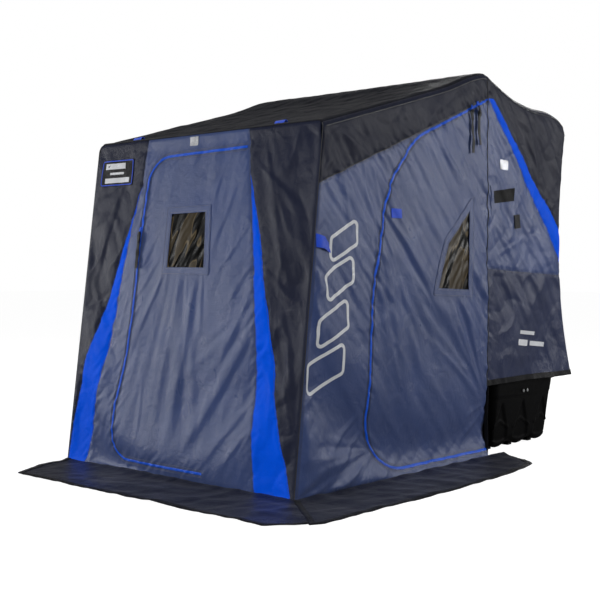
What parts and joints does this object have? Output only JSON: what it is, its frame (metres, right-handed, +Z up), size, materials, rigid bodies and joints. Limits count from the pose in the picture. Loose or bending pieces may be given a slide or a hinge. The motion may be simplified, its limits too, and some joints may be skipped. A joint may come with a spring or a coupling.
{
  "type": "ice fishing shelter",
  "caption": "Flip-over ice fishing shelter: fabric canopy on folding bows over a moulded sled, with zipped doors, windows, swivel seats and ground skirts.",
  "frame": {"origin": "on the ice under the middle of the sled, at the centre of its middle runner", "axes": "+Y towards the back of the shelter (the sled side), +Z up, +X to the right seen from the front"},
  "size_m": [2.0144, 2.8782, 2.03],
  "materials": {
    "sled_plastic": "rotomoulded, faint orange peel",
    "runner_plastic": "smooth, scuffed",
    "steel_plate": "black powder coat",
    "zinc_steel": "zinc plated",
    "bow_tube": "drawn square tube",
    "rail_aluminium": "extruded",
    "black_plastic": "moulded",
    "grey_fabric": "coated slate-grey polyester, satin",
    "charcoal_fabric": "coated charcoal polyester",
    "black_fabric": "coated black polyester",
    "blue_fabric": "coated royal-blue polyester",
    "hem_fabric": "heavy black binding",
    "skirt_fabric": "coated black tarpaulin",
    "mesh_fabric": "black mesh",
    "tab_webbing": "webbing and reflective cloth",
    "blue_zip": "coil zip on woven tape",
    "label_patch": "printed patch, no lettering",
    "window_vinyl": "smoked clear vinyl",
    "zip_metal": "die-cast slider",
    "pull_webbing": "black webbing",
    "seat_fabric": "padded black vinyl-coated fabric"
  },
  "bodies": {
    "shelter": {"sled_tub": "sled_plastic", "sled_runners": "runner_plastic", "pivot_brackets": "steel_plate", "bracket_bolts": "zinc_steel", "bow_pins": "zinc_steel", "hitch_bracket": "steel_plate", "rear_bow_legs": "bow_tube", "rear_bow_bar": "bow_tube", "mid_bow_legs": "bow_tube", "mid_bow_bar": "bow_tube", "bow_elbows": "black_plastic", "seat_rails": "rail_aluminium", "side_wall_right": "grey_fabric", "side_wall_left": "grey_fabric", "side_caps": "charcoal_fabric", "side_zips": "blue_zip", "rear_side_right": "grey_fabric", "rear_side_left": "grey_fabric", "rear_stripes": "blue_fabric", "rear_caps": "black_fabric", "roof_front": "black_fabric", "roof_rear": "black_fabric", "rear_wall": "black_fabric", "rim_hem": "hem_fabric", "skirt_right": "skirt_fabric", "skirt_left": "skirt_fabric", "vent_screens": "mesh_fabric", "trim_tabs": "tab_webbing"},
    "front_wall": {"front_panel": "grey_fabric", "front_gussets": "blue_fabric", "front_corner_panels": "charcoal_fabric", "front_skirt": "skirt_fabric", "front_zip": "blue_zip", "front_label": "label_patch"},
    "front_door": {"front_door": "grey_fabric", "front_window": "window_vinyl", "front_window_border": "grey_fabric"},
    "side_door_right": {"side_door_right": "grey_fabric", "side_window_right": "window_vinyl"},
    "side_door_left": {"side_door_left": "grey_fabric", "side_window_left": "window_vinyl"},
    "front_bow": {"front_bow_legs": "bow_tube", "leg_clamps": "black_plastic"},
    "front_bow_inner": {"front_bow_inner_legs": "bow_tube", "front_bow_bar": "bow_tube", "front_bow_elbows": "black_plastic"},
    "front_slider": {"front_slider": "zip_metal"},
    "front_pull": {"front_pull": "pull_webbing"},
    "side_slider_right": {"side_slider_right": "zip_metal"},
    "side_pull_right": {"side_pull_right": "pull_webbing"},
    "side_slider_left": {"side_slider_left": "zip_metal"},
    "side_pull_left": {"side_pull_left": "pull_webbing"},
    "seat_carriage_left": {"seat_carriage_left": "steel_plate"},
    "seat_left": {"seat_pan_left": "black_plastic", "seat_cushion_left": "seat_fabric"},
    "seat_back_left": {"seat_back_left": "seat_fabric"},
    "seat_carriage_right": {"seat_carriage_right": "steel_plate"},
    "seat_right": {"seat_pan_right": "black_plastic", "seat_cushion_right": "seat_fabric"},
    "seat_back_right": {"seat_back_right": "seat_fabric"}
  },
  "joints": [
    {"name": "front_bow_fold", "type": "hinge", "parent": "shelter", "child": "front_bow", "pos_m": [0, -0.09, 0.45], "axis": [-1, 0, 0], "range_deg": [0, 26]},
    {"name": "front_bow_telescope", "type": "slide", "parent": "front_bow", "child": "front_bow_inner", "axis": [0, 0.8185, -0.5744], "range_m": [0, 0.727]},
    {"name": "front_wall_slide", "type": "slide", "parent": "shelter", "child": "front_wall", "axis": [0, 1, 0], "range_m": [0, 1.045]},
    {"name": "front_door_swing", "type": "hinge", "parent": "front_wall", "child": "front_door", "pos_m": [0.236, -2.00272, 0.057], "axis": [0.0588, 0.1265, 0.9902], "range_deg": [0, 110]},
    {"name": "side_door_right_swing", "type": "hinge", "parent": "shelter", "child": "side_door_right", "pos_m": [0.79187, -0.4605, 0.89996], "axis": [-0.009, 0, 1], "range_deg": [0, 120]},
    {"name": "side_door_left_swing", "type": "hinge", "parent": "shelter", "child": "side_door_left", "pos_m": [-0.79187, -0.4605, 0.89996], "axis": [-0.009, 0, -1], "range_deg": [0, 120]},
    {"name": "front_slider_run", "type": "slide", "parent": "front_wall", "child": "front_slider", "axis": [-0.0427, -0.1266, -0.991], "range_m": [-0.12, 0.42]},
    {"name": "front_pull_lift", "type": "hinge", "parent": "front_slider", "child": "front_pull", "pos_m": [-0.373, -1.86715, 1.20336], "axis": [-1, 0, 0], "range_deg": [0, 80]},
    {"name": "side_slider_right_run", "type": "slide", "parent": "shelter", "child": "side_slider_right", "axis": [0.0032, -0.9339, -0.3575], "range_m": [0, 0.15]},
    {"name": "side_pull_right_lift", "type": "hinge", "parent": "side_slider_right", "child": "side_pull_right", "pos_m": [0.79414, -0.625, 1.83802], "axis": [0, -1, 0], "range_deg": [0, 80]},
    {"name": "side_slider_left_run", "type": "slide", "parent": "shelter", "child": "side_slider_left", "axis": [-0.0032, -0.9339, -0.3575], "range_m": [0, 0.15]},
    {"name": "side_pull_left_lift", "type": "hinge", "parent": "side_slider_left", "child": "side_pull_left", "pos_m": [-0.79414, -0.625, 1.83802], "axis": [0, 1, 0], "range_deg": [0, 80]},
    {"name": "seat_left_slide", "type": "slide", "parent": "shelter", "child": "seat_carriage_left", "axis": [1, 0, 0], "range_m": [0, 0.08]},
    {"name": "seat_left_swivel", "type": "hinge", "parent": "seat_carriage_left", "child": "seat_left", "pos_m": [-0.39, -0.01, 0.44], "axis": [0, 0, 1], "range_deg": [-90, 90]},
    {"name": "seat_back_left_fold", "type": "hinge", "parent": "seat_left", "child": "seat_back_left", "pos_m": [-0.39, 0.215, 0.572], "axis": [1, 0, 0], "range_deg": [0, 95]},
    {"name": "seat_right_slide", "type": "slide", "parent": "shelter", "child": "seat_carriage_right", "axis": [-1, 0, 0], "range_m": [0, 0.08]},
    {"name": "seat_right_swivel", "type": "hinge", "parent": "seat_carriage_right", "child": "seat_right", "pos_m": [0.39, -0.01, 0.44], "axis": [0, 0, -1], "range_deg": [-90, 90]},
    {"name": "seat_back_right_fold", "type": "hinge", "parent": "seat_right", "child": "seat_back_right", "pos_m": [0.39, 0.215, 0.572], "axis": [1, 0, 0], "range_deg": [0, 95]}
  ],
  "couplings": [
    {"joint": "front_bow_telescope", "follows": "front_bow_fold", "m_per_rad": 1.6},
    {"joint": "front_wall_slide", "follows": "front_bow_fold", "m_per_rad": 2.3}
  ]
}
